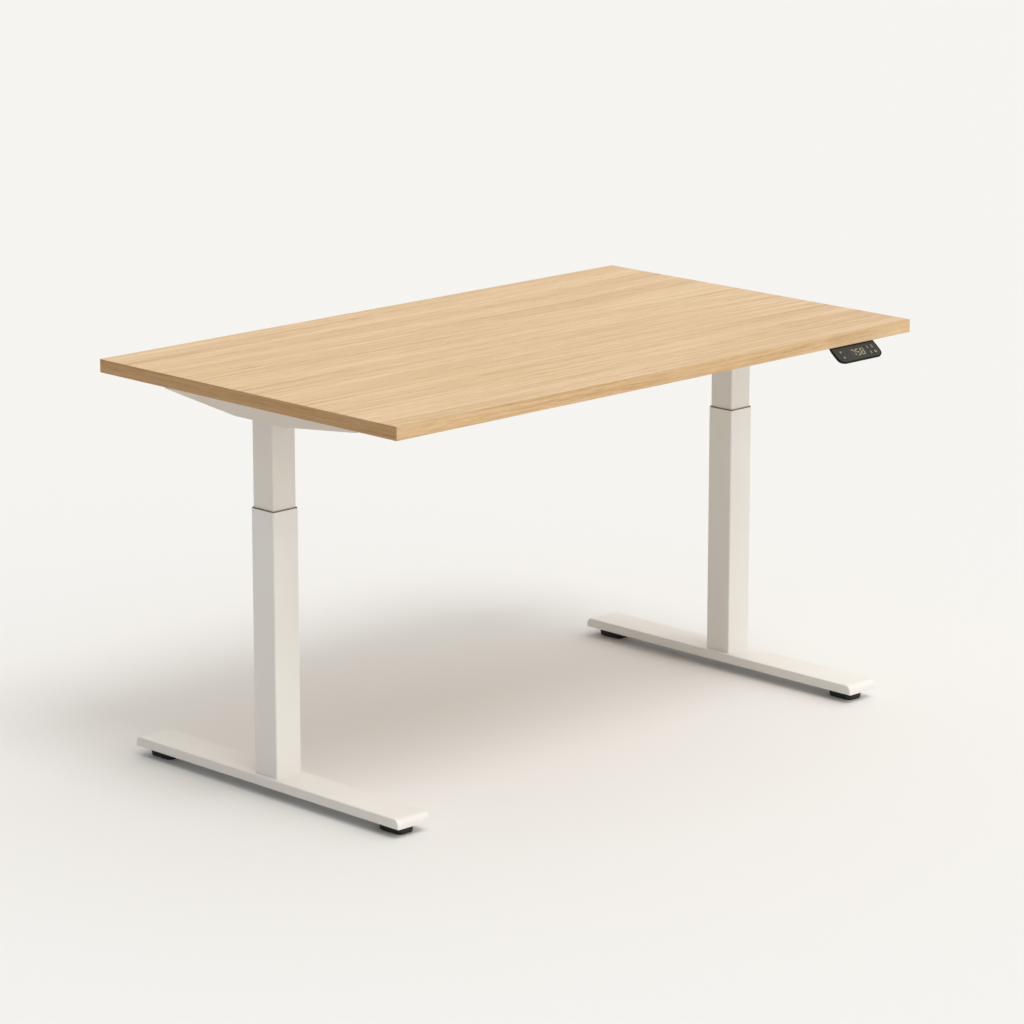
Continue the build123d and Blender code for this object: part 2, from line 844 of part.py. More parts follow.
def make_handset_gland():
    gland_height = underside - (handset_tab_thickness + handset_neck_depth) / 2
    gland_plane = Plane(
        origin=(handset_centre_x, desk_y + neck_rear, gland_height),
        x_dir=(-1, 0, 0),
        z_dir=(0, 1, 0),
    )
    with BuildPart() as gland:
        with BuildSketch(gland_plane):
            Circle(gland_radius)
        extrude(amount=gland_length, taper=gland_slope)
    save(gland, "handset_gland")


make_desktop()
make_glide_inserts()
make_foot_screws()
make_rail_screws()
make_head_screws()
make_wood_screws("bracket_screws", bracket_screw_points, web_bottom)
make_wood_screws("control_box_screws", box_screw_points, underside - box_plate_thickness)
make_wood_screws("handset_screws", handset_screw_points, underside - handset_tab_thickness)

for name, side in sides.items():
    make_foot(name, side)
    make_foot_plate(name, side)
    make_column_base(name, side)
    make_square_tube(f"{name}_outer_tube", side, outer_tube_size, foot_top, outer_tube_top)
    make_square_tube(f"{name}_inner_tube", side, inner_tube_size, inner_tube_bottom, head_bottom)
    make_guide(
        f"{name}_top_guide",
        side,
        outer_bore,
        inner_tube_size + 2 * sliding_gap,
        bore_corner_radius + guide_corner_relief,
        bore_corner_radius + guide_corner_relief,
        outer_tube_top - guide_length,
        outer_tube_size - 2 * guide_lip_inset,
    )
    make_guide(
        f"{name}_bottom_guide",
        side,
        outer_bore - 2 * sliding_gap,
        inner_tube_size,
        tube_corner_radius + 2 * guide_corner_relief,
        tube_corner_radius - guide_corner_relief,
        inner_tube_bottom,
    )
    make_push_tube(name, side)
    make_spindle_nut(name, side)
    make_column_head(name, side)
    make_motor(name, side)
    make_gearbox(name, side)
    make_spindle_bearing(name, side)
    make_spindle(name, side)
    make_side_bracket(name, side)
    for end_name, end in ends.items():
        make_glide(f"{end_name}_{name}_glide", side, end)

for name, end in ends.items():
    make_rail(name, end)

make_control_box_plate()
make_control_box_cover()
make_mains_inlet()
make_control_sockets()
make_control_board()

make_handset_housing()
make_handset_faceplate()
make_handset_display()
make_handset_board()
make_handset_gland()
for name in keys:
    make_key(name)
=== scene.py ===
import json
import math

import bmesh
import bpy
import numpy as np
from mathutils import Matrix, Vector


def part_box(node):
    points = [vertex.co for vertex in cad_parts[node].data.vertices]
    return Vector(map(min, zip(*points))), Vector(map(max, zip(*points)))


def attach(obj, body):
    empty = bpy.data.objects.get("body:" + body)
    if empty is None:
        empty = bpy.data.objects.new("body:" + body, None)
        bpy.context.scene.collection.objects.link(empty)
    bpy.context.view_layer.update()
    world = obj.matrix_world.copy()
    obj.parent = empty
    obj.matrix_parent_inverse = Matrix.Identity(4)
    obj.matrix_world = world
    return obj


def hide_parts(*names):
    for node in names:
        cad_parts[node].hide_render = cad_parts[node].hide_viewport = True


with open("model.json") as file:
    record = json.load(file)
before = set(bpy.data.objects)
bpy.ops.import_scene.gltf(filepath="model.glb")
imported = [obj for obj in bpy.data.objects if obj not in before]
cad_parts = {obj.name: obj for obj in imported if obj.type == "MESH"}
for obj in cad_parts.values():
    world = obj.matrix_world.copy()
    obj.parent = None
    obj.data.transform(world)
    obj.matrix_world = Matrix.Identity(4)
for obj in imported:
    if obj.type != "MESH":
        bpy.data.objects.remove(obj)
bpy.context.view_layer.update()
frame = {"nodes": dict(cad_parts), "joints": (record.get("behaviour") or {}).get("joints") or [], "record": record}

nodes = frame["nodes"]
slotOf = {part["node"]: part["material_slot"] for part in frame["record"]["subparts"]}
bodies = frame["record"]["behaviour"]["bodies"]
bodyOf = {node: body for body, members in bodies.items() for node in members}
topLow, topHigh = (np.array(corner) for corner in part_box("desktop"))
deskMiddle = (topLow + topHigh) / 2  # the worktop's own middle, a little behind the origin


# the camera stands in front of the desk's left end and looks slightly down
cameraLook = {
    "place": (-5.4995, -5.5918, 2.3501),  # from the point on the floor under the worktop's middle
    "aim": (-0.0057, 0.0, 0.4232),
    "lens": 149.46,
    "sensor": 36.0,
    "farthest": 200,
}


def setCamera():
    data = bpy.data.cameras.new("deskCamera")
    camera = bpy.data.objects.new("deskCamera", data)
    bpy.context.scene.collection.objects.link(camera)
    floorMiddle = Vector((deskMiddle[0], deskMiddle[1], 0))
    camera.location = floorMiddle + Vector(cameraLook["place"])
    aim = floorMiddle + Vector(cameraLook["aim"])
    camera.rotation_euler = (aim - camera.location).to_track_quat("-Z", "Y").to_euler()
    data.lens = cameraLook["lens"]
    data.sensor_width = cameraLook["sensor"]
    data.clip_end = cameraLook["farthest"]
    bpy.context.scene.camera = camera


setCamera()
print("camera placed")


# pale paper floor, a sky that is brighter towards the right and one wide soft light from the front
studio = {
    "floorSize": 60.0,
    "floorColour": (0.832, 0.826, 0.816),
    "floorRoughness": 0.9,
    "floorSpecular": 0.15,
    "skyBase": 0.79,
    "skySlope": (0.60, -0.28, 0.10),  # how much brighter towards +X, +Y and up
    "skyColour": (1.0, 0.980, 0.944),
    "backdropColour": (0.905, 0.880, 0.839),
    "sunStrength": 0.91,
    "sunColour": (0.985, 1.0, 1.015),
    "sunAngle": 28,
    "sunFrom": (0.0, -0.52, 1.0),
}


def mixShaders(tree, share, first, second, end):
    # the second shader where the share is one, the first elsewhere, into the end socket
    mixer = tree.nodes.new("ShaderNodeMixShader")
    for socket, source in zip(mixer.inputs, (share, first.outputs[0], second.outputs[0])):
        tree.links.new(source, socket)
    tree.links.new(mixer.outputs[0], end)


def setFloor():
    half = studio["floorSize"] / 2
    mesh = bpy.data.meshes.new("studioFloor")
    corners = [(-half, -half, 0), (half, -half, 0), (half, half, 0), (-half, half, 0)]
    mesh.from_pydata(corners, [], [(0, 1, 2, 3)])
    floor = bpy.data.objects.new("studioFloor", mesh)
    bpy.context.scene.collection.objects.link(floor)
    paper = bpy.data.materials.new("studioPaper")
    paper.use_nodes = True
    tree = paper.node_tree
    shader = tree.nodes["Principled BSDF"]
    shader.inputs["Base Color"].default_value = (*studio["floorColour"], 1)
    shader.inputs["Roughness"].default_value = studio["floorRoughness"]
    shader.inputs["Specular IOR Level"].default_value = studio["floorSpecular"]
    # the paper is clear from underneath, so that the desk is seen from below as well
    clear = tree.nodes.new("ShaderNodeBsdfTransparent")
    behind = tree.nodes.new("ShaderNodeNewGeometry").outputs["Backfacing"]
    mixShaders(tree, behind, shader, clear, tree.nodes["Material Output"].inputs["Surface"])
    mesh.materials.append(paper)


def setSky():
    world = bpy.data.worlds.new("softRoom")
    bpy.context.scene.world = world
    world.use_nodes = True
    tree = world.node_tree
    sky = tree.nodes["Background"]
    sky.inputs["Color"].default_value = (*studio["skyColour"], 1)
    # the sky's brightness is a base plus its slope times the direction, and never below zero
    slope = tree.nodes.new("ShaderNodeVectorMath")
    slope.operation = "DOT_PRODUCT"
    slope.inputs[1].default_value = studio["skySlope"]
    tree.links.new(tree.nodes.new("ShaderNodeTexCoord").outputs["Generated"], slope.inputs[0])
    value = slope.outputs["Value"]
    for operation, amount in (("ADD", studio["skyBase"]), ("MAXIMUM", 0.0)):
        step = tree.nodes.new("ShaderNodeMath")
        step.operation = operation
        tree.links.new(value, step.inputs[0])
        step.inputs[1].default_value = amount
        value = step.outputs[0]
    tree.links.new(value, sky.inputs["Strength"])
    # past the floor's edge the camera sees a plain backdrop as pale as the floor
    backdrop = tree.nodes.new("ShaderNodeBackground")
    backdrop.inputs["Color"].default_value = (*studio["backdropColour"], 1)
    seen = tree.nodes.new("ShaderNodeLightPath").outputs["Is Camera Ray"]
    mixShaders(tree, seen, sky, backdrop, tree.nodes["World Output"].inputs["Surface"])


def setSun():
    lamp = bpy.data.lights.new("windowSun", "SUN")
    lamp.energy = studio["sunStrength"]
    lamp.color = studio["sunColour"]
    lamp.angle = math.radians(studio["sunAngle"])
    sun = bpy.data.objects.new("windowSun", lamp)
    bpy.context.scene.collection.objects.link(sun)
    sun.rotation_euler = Vector(studio["sunFrom"]).to_track_quat("Z", "Y").to_euler()


setFloor()
setSky()
setSun()
bpy.context.scene.view_settings.view_transform = "Standard"
print("studio lit")


class Recipe:
    # one finish being mixed, with short calls for the shader nodes that the finishes share
    def __init__(self, name):
        self.finish = bpy.data.materials.new(name)
        self.finish.use_nodes = True
        self.tree = self.finish.node_tree
        self.shader = self.tree.nodes["Principled BSDF"]
        self.coordinates = self.tree.nodes.new("ShaderNodeTexCoord")
        self.place = self.coordinates.outputs["Object"]
        self.facing = self.coordinates.outputs["Normal"]

    def put(self, socket, value):
        if isinstance(value, bpy.types.NodeSocket):
            self.tree.links.new(value, socket)
        elif socket.type == "RGBA" and len(value) == 3:
            socket.default_value = (*value, 1)
        else:
            socket.default_value = value

    def maths(self, operation, *values):
        step = self.tree.nodes.new("ShaderNodeMath")
        step.operation = operation
        for socket, value in zip(step.inputs, values):
            self.put(socket, value)
        return step.outputs[0]

    def split(self, vector):
        step = self.tree.nodes.new("ShaderNodeSeparateXYZ")
        self.put(step.inputs[0], vector)
        return step.outputs

    def join(self, x, y, z):
        step = self.tree.nodes.new("ShaderNodeCombineXYZ")
        for socket, value in zip(step.inputs, (x, y, z)):
            self.put(socket, value)
        return step.outputs[0]

    def stretch(self, vector, scale):
        step = self.tree.nodes.new("ShaderNodeMapping")
        self.put(step.inputs["Vector"], vector)
        step.inputs["Scale"].default_value = scale
        return step.outputs[0]

    def noise(self, vector, scale, detail=2.0, rough=0.5, twist=0.0):
        step = self.tree.nodes.new("ShaderNodeTexNoise")
        self.put(step.inputs["Vector"], vector)
        step.inputs["Scale"].default_value = scale
        step.inputs["Detail"].default_value = detail
        step.inputs["Roughness"].default_value = rough
        step.inputs["Distortion"].default_value = twist
        return step.outputs["Fac"]

    def cells(self, vector, scale, feature="F1", output="Distance"):
        step = self.tree.nodes.new("ShaderNodeTexVoronoi")
        step.feature = feature
        self.put(step.inputs["Vector"], vector)
        step.inputs["Scale"].default_value = scale
        return step.outputs[output]

    def remap(self, value, low, high, toLow=0.0, toHigh=1.0):
        step = self.tree.nodes.new("ShaderNodeMapRange")
        for socket, number in zip(step.inputs, (value, low, high, toLow, toHigh)):
            self.put(socket, number)
        return step.outputs[0]

    def mix(self, share, first, second, blend="MIX"):
        step = self.tree.nodes.new("ShaderNodeMix")
        step.data_type = "RGBA"
        step.blend_type = blend
        self.put(step.inputs["Factor"], share)
        self.put(step.inputs[6], first)
        self.put(step.inputs[7], second)
        return step.outputs[2]

    def blend(self, share, first, second):
        step = self.tree.nodes.new("ShaderNodeMix")
        self.put(step.inputs["Factor"], share)
        self.put(step.inputs[2], first)
        self.put(step.inputs[3], second)
        return step.outputs[0]

    def ramp(self, value, stops):
        step = self.tree.nodes.new("ShaderNodeValToRGB")
        while len(step.color_ramp.elements) < len(stops):
            step.color_ramp.elements.new(0.5)
        for element, (position, colour) in zip(step.color_ramp.elements, stops):
            element.position = position
            element.color = (*colour, 1)
        self.put(step.inputs[0], value)
        return step.outputs[0]

    def bump(self, height, depth, strength):
        step = self.tree.nodes.new("ShaderNodeBump")
        step.inputs["Distance"].default_value = depth
        step.inputs["Strength"].default_value = strength
        self.put(step.inputs["Height"], height)
        return step.outputs[0]

    def add(self, *values):
        total = values[0]
        for value in values[1:]:
            total = self.maths("ADD", total, value)
        return total

    def times(self, first, second):
        return self.maths("MULTIPLY", first, second)

    def done(self, colour, roughness, normal, metallic=0.0, specular=0.5):
        self.put(self.shader.inputs["Base Color"], colour)
        self.put(self.shader.inputs["Roughness"], roughness)
        self.shader.inputs["Metallic"].default_value = metallic
        self.shader.inputs["Specular IOR Level"].default_value = specular
        self.put(self.shader.inputs["Normal"], normal)
        return self.finish


# pale straight-grained oak veneer
oakLook = {
    "stops": (
        (0.10, (0.500, 0.303, 0.138)),
        (0.38, (0.622, 0.413, 0.212)),
        (0.60, (0.693, 0.483, 0.268)),
        (0.90, (0.765, 0.567, 0.348)),
    ),
    "pore": (0.36, 0.20, 0.09),
    "poreShare": 0.45,
    "frontTint": (0.955, 0.938, 0.915),
    # the end faces' tint is painted shade, much darker than the front's
    "endTint": (0.715, 0.603, 0.478),
    # each layer's frequency per metre along and across the grain, its detail and its roughness
    "wander": (0.55, 2.4, 1.0, 0.5),
    "ripple": (3.5, 14.0, 2.0, 0.5),
    "swell": (0.4, 5.0, 1.0, 0.5),
    "bands": (0.8, 22.0, 2.0, 0.55),
    "streaks": (2.6, 170.0, 3.0, 0.6),
    "fibres": (18.0, 560.0, 2.0, 0.6),
    "pores": (62.0, 1050.0, 1.0, 0.5),
    "wanderReach": 0.045,  # how far the grain is bent
    "rippleReach": 0.0035,
    "rings": 30.0,
    "ringSwell": 3.5,
    "ringSharpness": 2.5,
    # from a layer's low and high values to the values they give
    "bandTone": (0.25, 0.75, 0.15, 0.65),
    "streakTone": (0.25, 0.75, -0.13, 0.41),
    "fibreTone": (0.25, 0.75, -0.27, 0.31),
    "ringTone": (0.35, 0.7, 0.03, 0.12),
    "poreMask": (0.63, 0.74, 0, 1),
    "gloss": (0.3, 0.7, 0.56, 0.44),
    "fibreRelief": 0.5,
    "poreRelief": 0.8,
    "depth": 0.00012,
    "relief": 0.6,
    "specular": 0.35,
    "square": 0.7,  # a face belongs to an axis when its normal's share is above this
    "endSeed": 3.7,
    "flatSeed": 9.1,
    "bandWidth": 0.0011,  # edge band as it shows on the upper face
}


def makeOak():
    look = oakLook
    recipe = Recipe("oakVeneer")
    x, y, z = recipe.split(recipe.place)
    faceX, faceY, faceZ = recipe.split(recipe.facing)
    flat = recipe.maths("GREATER_THAN", recipe.maths("ABSOLUTE", faceZ), look["square"])
    end = recipe.maths("GREATER_THAN", recipe.maths("ABSOLUTE", faceX), look["square"])
    along = recipe.blend(end, x, y)
    across = recipe.blend(flat, z, y)
    seed = recipe.add(recipe.times(end, look["endSeed"]), recipe.times(flat, look["flatSeed"]))

    def layer(name, sideways):
        lengthwise, crosswise, detail, rough = look[name]
        spot = recipe.join(recipe.times(along, lengthwise), recipe.times(sideways, crosswise), seed)
        return recipe.noise(spot, 1.0, detail, rough)

    def swing(name, reach):
        return recipe.remap(layer(name, across), 0, 1, -reach, reach)

    # the grain's place across the board, bent slowly and then rippled a little
    bending = recipe.add(swing("wander", look["wanderReach"]), swing("ripple", look["rippleReach"]))
    bent = recipe.add(across, bending)
    bands = layer("bands", bent)
    streaks = layer("streaks", bent)
    fibres = layer("fibres", bent)
    # growth rings: a sine of the bent place, sharpened so the dark side is narrow
    swell = recipe.times(layer("swell", bent), look["ringSwell"])
    phase = recipe.add(recipe.times(bent, look["rings"]), swell)
    wave = recipe.maths("SINE", recipe.times(phase, 2 * math.pi))
    rings = recipe.maths("POWER", recipe.remap(wave, -1, 1), look["ringSharpness"])
    tone = recipe.add(
        recipe.remap(bands, *look["bandTone"]),
        recipe.remap(streaks, *look["streakTone"]),
        recipe.remap(fibres, *look["fibreTone"]),
    )
    ringTone = recipe.times(rings, recipe.remap(bands, *look["ringTone"]))
    colour = recipe.ramp(recipe.maths("SUBTRACT", tone, ringTone), look["stops"])
    poreMask = recipe.remap(layer("pores", bent), *look["poreMask"])
    colour = recipe.mix(recipe.times(poreMask, look["poreShare"]), colour, look["pore"])
    # the edge band is a little browner on the front and back; on the ends the tint is much darker, painted shade
    # on both ends alike; it shows as a hairline round the upper face
    half = (topHigh - topLow) / 2 - look["bandWidth"]

    def past(place, axis):
        away = recipe.maths("SUBTRACT", place, float(deskMiddle[axis]))
        return recipe.maths("GREATER_THAN", recipe.maths("ABSOLUTE", away), float(half[axis]))

    rim = recipe.maths("MAXIMUM", past(x, 0), past(y, 1))
    onBand = recipe.maths("MAXIMUM", recipe.maths("SUBTRACT", 1.0, flat), rim)
    # the ends take the darker tint, which is painted shade
    tint = recipe.mix(end, look["frontTint"], look["endTint"])
    colour = recipe.mix(onBand, colour, recipe.mix(1.0, colour, tint, "MULTIPLY"))
    roughness = recipe.remap(streaks, *look["gloss"])
    raised = recipe.times(fibres, look["fibreRelief"])
    height = recipe.maths("SUBTRACT", raised, recipe.times(poreMask, look["poreRelief"]))
    normal = recipe.bump(height, look["depth"], look["relief"])
    return recipe.done(colour, roughness, normal, specular=look["specular"])


# warm white powder coat with a fine orange peel; a noise is its scale, detail and roughness
paintLook = {
    "colour": (0.820, 0.801, 0.766),
    "shade": (0.802, 0.780, 0.742),
    "upperColour": (0.785, 0.750, 0.702),  # painted shade: the inner tubes and brackets are darker and warmer, standing in for the worktop's shade and the oak's warm bounce
    "upperShade": (0.766, 0.728, 0.678),
    "speck": (0.62, 0.59, 0.54),
    "cloud": (7.0, 3.0, 0.5),
    "peel": (850.0, 2.0, 0.45),
    "grit": (3200.0, 2.0, 0.6),
    "shadeShare": (0.35, 0.65, 0, 1),
    "speckShare": (0.55, 0.8, 0, 0.12),
    "gloss": (0.3, 0.7, 0.40, 0.48),
    "glossDrift": (0, 1, -0.03, 0.03),
    "gritRelief": 0.35,
    "depth": 0.00005,
    "relief": 0.7,
    "specular": 0.45,
}


def makePaint(name, tone, shade):
    look = paintLook
    recipe = Recipe(name)
    cloud = recipe.noise(recipe.place, *look["cloud"])
    grit = recipe.noise(recipe.place, *look["grit"])
    peel = recipe.noise(recipe.place, *look["peel"])
    colour = recipe.mix(recipe.remap(cloud, *look["shadeShare"]), tone, shade)
    colour = recipe.mix(recipe.remap(grit, *look["speckShare"]), colour, look["speck"])
    drift = recipe.remap(cloud, *look["glossDrift"])
    roughness = recipe.add(recipe.remap(peel, *look["gloss"]), drift)
    height = recipe.add(peel, recipe.times(grit, look["gritRelief"]))
    normal = recipe.bump(height, look["depth"], look["relief"])
    return recipe.done(colour, roughness, normal, specular=look["specular"])


# moulded parts: a colour, its worn tone, the gloss's range and the grain's scale and depth
mouldings = {
    "padRubber": {
        "colour": (0.020, 0.020, 0.019),
        "worn": (0.060, 0.058, 0.054),
        "gloss": (0.60, 0.78),
        "grain": 2600.0,
        "depth": 0.00008,
        "specular": 0.4,
    },
    "slideNylon": {
        "colour": (0.165, 0.140, 0.108),
        "worn": (0.200, 0.172, 0.136),
        "gloss": (0.42, 0.55),
        "grain": 1500.0,
        "depth": 0.00003,
        "specular": 0.4,
    },
    "boxAbs": {
        "colour": (0.017, 0.017, 0.017),
        "worn": (0.030, 0.030, 0.029),
        "gloss": (0.50, 0.62),
        "grain": 2200.0,
        "depth": 0.00006,
        "specular": 0.4,
    },
    "handsetShell": {
        "colour": (0.0032, 0.0032, 0.0024),
        "worn": (0.006, 0.006, 0.005),
        "gloss": (0.50, 0.62),
        "grain": 3000.0,
        "depth": 0.00004,
        "specular": 0.10,
    },
    "faceFilm": {
        "colour": (0.020, 0.020, 0.0135),
        "worn": (0.026, 0.025, 0.018),
        "gloss": (0.40, 0.50),
        "grain": 4200.0,
        "depth": 0.00003,
        "specular": 0.25,
    },
    "keyFilm": {
        "colour": (0.024, 0.024, 0.0165),
        "worn": (0.031, 0.030, 0.021),
        "gloss": (0.36, 0.46),
        "grain": 4200.0,
        "depth": 0.00003,
        "specular": 0.25,
    },
    "markInk": {
        "colour": (0.50, 0.39, 0.26),
        "worn": (0.43, 0.33, 0.22),
        "gloss": (0.45, 0.55),
        "grain": 5000.0,
        "depth": 0.00001,
        "specular": 0.3,
    },
}
mouldingLook = {
    "fineRatio": 1.7,  # the fine noise's scale over the grain's
    "fineDetail": 2.0,
    "cloud": (60.0, 4.0, 0.6),
    "scuffStretch": (40.0, 90.0, 300.0),
    "scuff": (1.0, 3.0, 0.65),
    "scuffShare": (0.5, 0.75, 0, 1),
    "cloudShare": (0.4, 0.7, 0.2, 1.0),
    "cloudGloss": 0.7,
    "fineGloss": 0.3,
    "fineRelief": 0.4,
    "relief": 0.8,
}
glossFrom = (0.3, 0.7)  # the noise values that give the two ends of a gloss


def makeMoulding(name):
    look = {**mouldingLook, **mouldings[name]}
    recipe = Recipe(name)
    grain = recipe.cells(recipe.place, look["grain"])
    fine = recipe.noise(recipe.place, look["grain"] * look["fineRatio"], look["fineDetail"])
    cloud = recipe.noise(recipe.place, *look["cloud"])
    scuff = recipe.noise(recipe.stretch(recipe.place, look["scuffStretch"]), *look["scuff"])
    cloudShare = recipe.remap(cloud, *look["cloudShare"])
    share = recipe.times(recipe.remap(scuff, *look["scuffShare"]), cloudShare)
    colour = recipe.mix(share, look["colour"], look["worn"])
    mottle = recipe.add(
        recipe.times(cloud, look["cloudGloss"]), recipe.times(fine, look["fineGloss"])
    )
    roughness = recipe.remap(mottle, *glossFrom, *look["gloss"])
    height = recipe.add(grain, recipe.times(fine, look["fineRelief"]))
    normal = recipe.bump(height, look["depth"], look["relief"])
    return recipe.done(colour, roughness, normal, specular=look["specular"])


# metals: brushing or turning lines are a noise stretched along one axis
metals = {
    "zincScrew": {
        "colour": (0.60, 0.61, 0.62),
        "tarnish": (0.44, 0.44, 0.42),
        "gloss": (0.26, 0.42),
        "lines": (1800.0, 1800.0, 300.0),
    },
    "zincSheet": {
        "colour": (0.58, 0.59, 0.60),
        "tarnish": (0.47, 0.48, 0.48),
        "gloss": (0.32, 0.46),
        "lines": (60.0, 2200.0, 2200.0),
    },
    "castAlloy": {
        "colour": (0.55, 0.56, 0.58),
        "tarnish": (0.40, 0.41, 0.43),
        "gloss": (0.38, 0.52),
        "lines": (500.0, 500.0, 700.0),
    },
    "turnedBrass": {
        "colour": (0.76, 0.56, 0.25),
        "tarnish": (0.55, 0.38, 0.16),
        "gloss": (0.24, 0.38),
        "lines": (60.0, 60.0, 4000.0),
    },
    "contactGold": {
        "colour": (0.80, 0.60, 0.26),
        "tarnish": (0.62, 0.45, 0.20),
        "gloss": (0.22, 0.34),
        "lines": (3000.0, 600.0, 3000.0),
    },
}
metalLook = {
    "lineNoise": (1.0, 3.0, 0.6),
    "cloud": (90.0, 4.0, 0.6),
    "tarnishShare": (0.45, 0.75, 0, 1),
    "spangle": 420.0,
    "bright": (0.72, 0.72, 0.70),
    "brightShare": 0.12,
    "spangleGloss": 0.05,
    "depth": 0.00003,
    "relief": 0.6,
}


def makeMetal(name):
    look = {**metalLook, **metals[name]}
    recipe = Recipe(name)
    lines = recipe.noise(recipe.stretch(recipe.place, look["lines"]), *look["lineNoise"])
    cloud = recipe.noise(recipe.place, *look["cloud"])
    spangle = recipe.split(recipe.cells(recipe.place, look["spangle"], output="Color"))[0]
    colour = recipe.mix(
        recipe.remap(cloud, *look["tarnishShare"]), look["colour"], look["tarnish"]
    )
    colour = recipe.mix(recipe.times(spangle, look["brightShare"]), colour, look["bright"])
    roughness = recipe.add(
        recipe.remap(lines, *glossFrom, *look["gloss"]),
        recipe.times(spangle, look["spangleGloss"]),
    )
    normal = recipe.bump(lines, look["depth"], look["relief"])
    return recipe.done(colour, roughness, normal, metallic=1.0)


# green solder mask with paler lanes for the traces under it
boardLook = {
    "mask": (0.012, 0.085, 0.040),
    "trace": (0.035, 0.160, 0.080),
    "dust": (0.020, 0.020, 0.022),
    "lanes": (420.0, 260.0, 260.0),
    "laneEdge": (0.03, 0.06, 1, 0),
    "grain": (2500.0, 2.0),
    "dustShare": (0.3, 0.7, 0, 0.25),
    "gloss": (0, 1, 0.38, 0.28),
    "depth": 0.00004,
    "relief": 0.8,
}


def makeBoard():
    look = boardLook
    recipe = Recipe("solderMask")
    lanes = recipe.cells(recipe.stretch(recipe.place, look["lanes"]), 1.0, "DISTANCE_TO_EDGE")
    trace = recipe.remap(lanes, *look["laneEdge"])
    colour = recipe.mix(trace, look["mask"], look["trace"])
    grain = recipe.noise(recipe.place, *look["grain"])
    colour = recipe.mix(recipe.remap(grain, *look["dustShare"]), colour, look["dust"])
    roughness = recipe.remap(trace, *look["gloss"])
    return recipe.done(colour, roughness, recipe.bump(trace, look["depth"], look["relief"]))


# smoked window over the figures, with faint finger smudges in its gloss
windowLook = {
    "tint": (0.016, 0.016, 0.0115),
    "haze": (0.023, 0.023, 0.017),
    "smudge": (140.0, 4.0, 0.6, 0.6),  # scale, detail, roughness and twist
    "fine": (3500.0, 2.0),
    "hazeShare": (0.4, 0.7, 0, 0.3),
    "gloss": (0.22, 0.36),
    "depth": 0.00001,
    "relief": 0.5,
    "specular": 0.3,
}


def makeWindow():
    look = windowLook
    recipe = Recipe("smokedWindow")
    smudge = recipe.noise(recipe.place, *look["smudge"])
    fine = recipe.noise(recipe.place, *look["fine"])
    colour = recipe.mix(recipe.remap(smudge, *look["hazeShare"]), look["tint"], look["haze"])
    roughness = recipe.remap(smudge, *glossFrom, *look["gloss"])
    normal = recipe.bump(fine, look["depth"], look["relief"])
    return recipe.done(colour, roughness, normal, specular=look["specular"])


finishes = {
    "oak": makeOak(),
    "frame_paint": makePaint("powderCoat", paintLook["colour"], paintLook["shade"]),
    "bare_steel": makeMetal("zincSheet"),
    "motor_steel": makeMetal("castAlloy"),
    "nut_brass": makeMetal("turnedBrass"),
    "glide_rubber": makeMoulding("padRubber"),
    "guide_plastic": makeMoulding("slideNylon"),
    "box_plastic": makeMoulding("boxAbs"),
    "board": makeBoard(),
    "handset_plastic": makeMoulding("handsetShell"),
    "faceplate": makeMoulding("faceFilm"),
    "key_plastic": makeMoulding("keyFilm"),
    "display": makeWindow(),
    "screw_steel": makeMetal("zincScrew"),
}
# a darker, warmer copy of the powder coat: painted shade for the upper parts under the worktop
shadedUpperPaint = makePaint("powderCoatUpper", paintLook["upperColour"], paintLook["upperShade"])
markInk = makeMoulding("markInk")
contactGold = makeMetal("contactGold")


def dressNodes():
    for name, node in nodes.items():
        node.data.materials.clear()
        # the inner tubes and side brackets take the copy with painted shade
        upper = name.endswith(("_inner_tube", "_side_bracket"))
        node.data.materials.append(shadedUpperPaint if upper else finishes[slotOf[name]])


dressNodes()
print("finishes mixed")


# tolerances that the shape helpers share
shapeLook = {
    "merge": 1e-6,  # points closer than this become one
    "sharp": 32,  # edges sharper than this many degrees stay crisp
    "level": 1e-5,  # points within this of a plane count as on it
    "digits": 6,  # decimals of a metre that tell two places apart
    "tiny": 1e-9,  # kept out of a division
}


def gridFaces(rows, columns):
    # quads between neighbouring rows of points, closed round the columns, and a fan on each end
    row, column = np.meshgrid(np.arange(rows - 1), np.arange(columns), indexing="ij")
    following = (column + 1) % columns
    quads = np.stack(
        (
            row * columns + column,
            row * columns + following,
            (row + 1) * columns + following,
            (row + 1) * columns + column,
        ),
        axis=-1,
    ).reshape(-1, 4)
    around = np.arange(columns)
    first, last = rows * columns, rows * columns + 1
    base = (rows - 1) * columns
    startFan = np.stack((np.full(columns, first), (around + 1) % columns, around), axis=-1)
    ending = (np.full(columns, last), base + around, base + (around + 1) % columns)
    return [quads, startFan, np.stack(ending, axis=-1)]


def closedSkin(rings):
    # rings of points, rows by columns by three, become a closed skin with a middle point at
    # each end
    rows, columns, _ = rings.shape
    points = np.concatenate((rings.reshape(-1, 3), rings[:1].mean(1), rings[-1:].mean(1)))
    return points, gridFaces(rows, columns)


def makePiece(name, skins, finish, body):
    # several closed skins become one piece: points stacked, faces shifted to match
    allPoints, allFaces, start = [], [], 0
    for points, faceSets in skins:
        allPoints.append(points)
        for faces in faceSets:
            allFaces += (faces + start).tolist()
        start += len(points)
    mesh = bpy.data.meshes.new(name)
    mesh.from_pydata(np.concatenate(allPoints).tolist(), [], allFaces)
    work = bmesh.new()
    work.from_mesh(mesh)
    bmesh.ops.remove_doubles(work, verts=work.verts, dist=shapeLook["merge"])
    bmesh.ops.recalc_face_normals(work, faces=work.faces)
    work.to_mesh(mesh)
    work.free()
    mesh.polygons.foreach_set("use_smooth", np.ones(len(mesh.polygons), bool))
    mesh.set_sharp_from_angle(angle=math.radians(shapeLook["sharp"]))
    mesh.materials.append(finish)
    piece = bpy.data.objects.new(name, mesh)
    bpy.context.scene.collection.objects.link(piece)
    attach(piece, body)
    return piece


def camelName(words):
    return words[0] + "".join(word.capitalize() for word in words[1:])


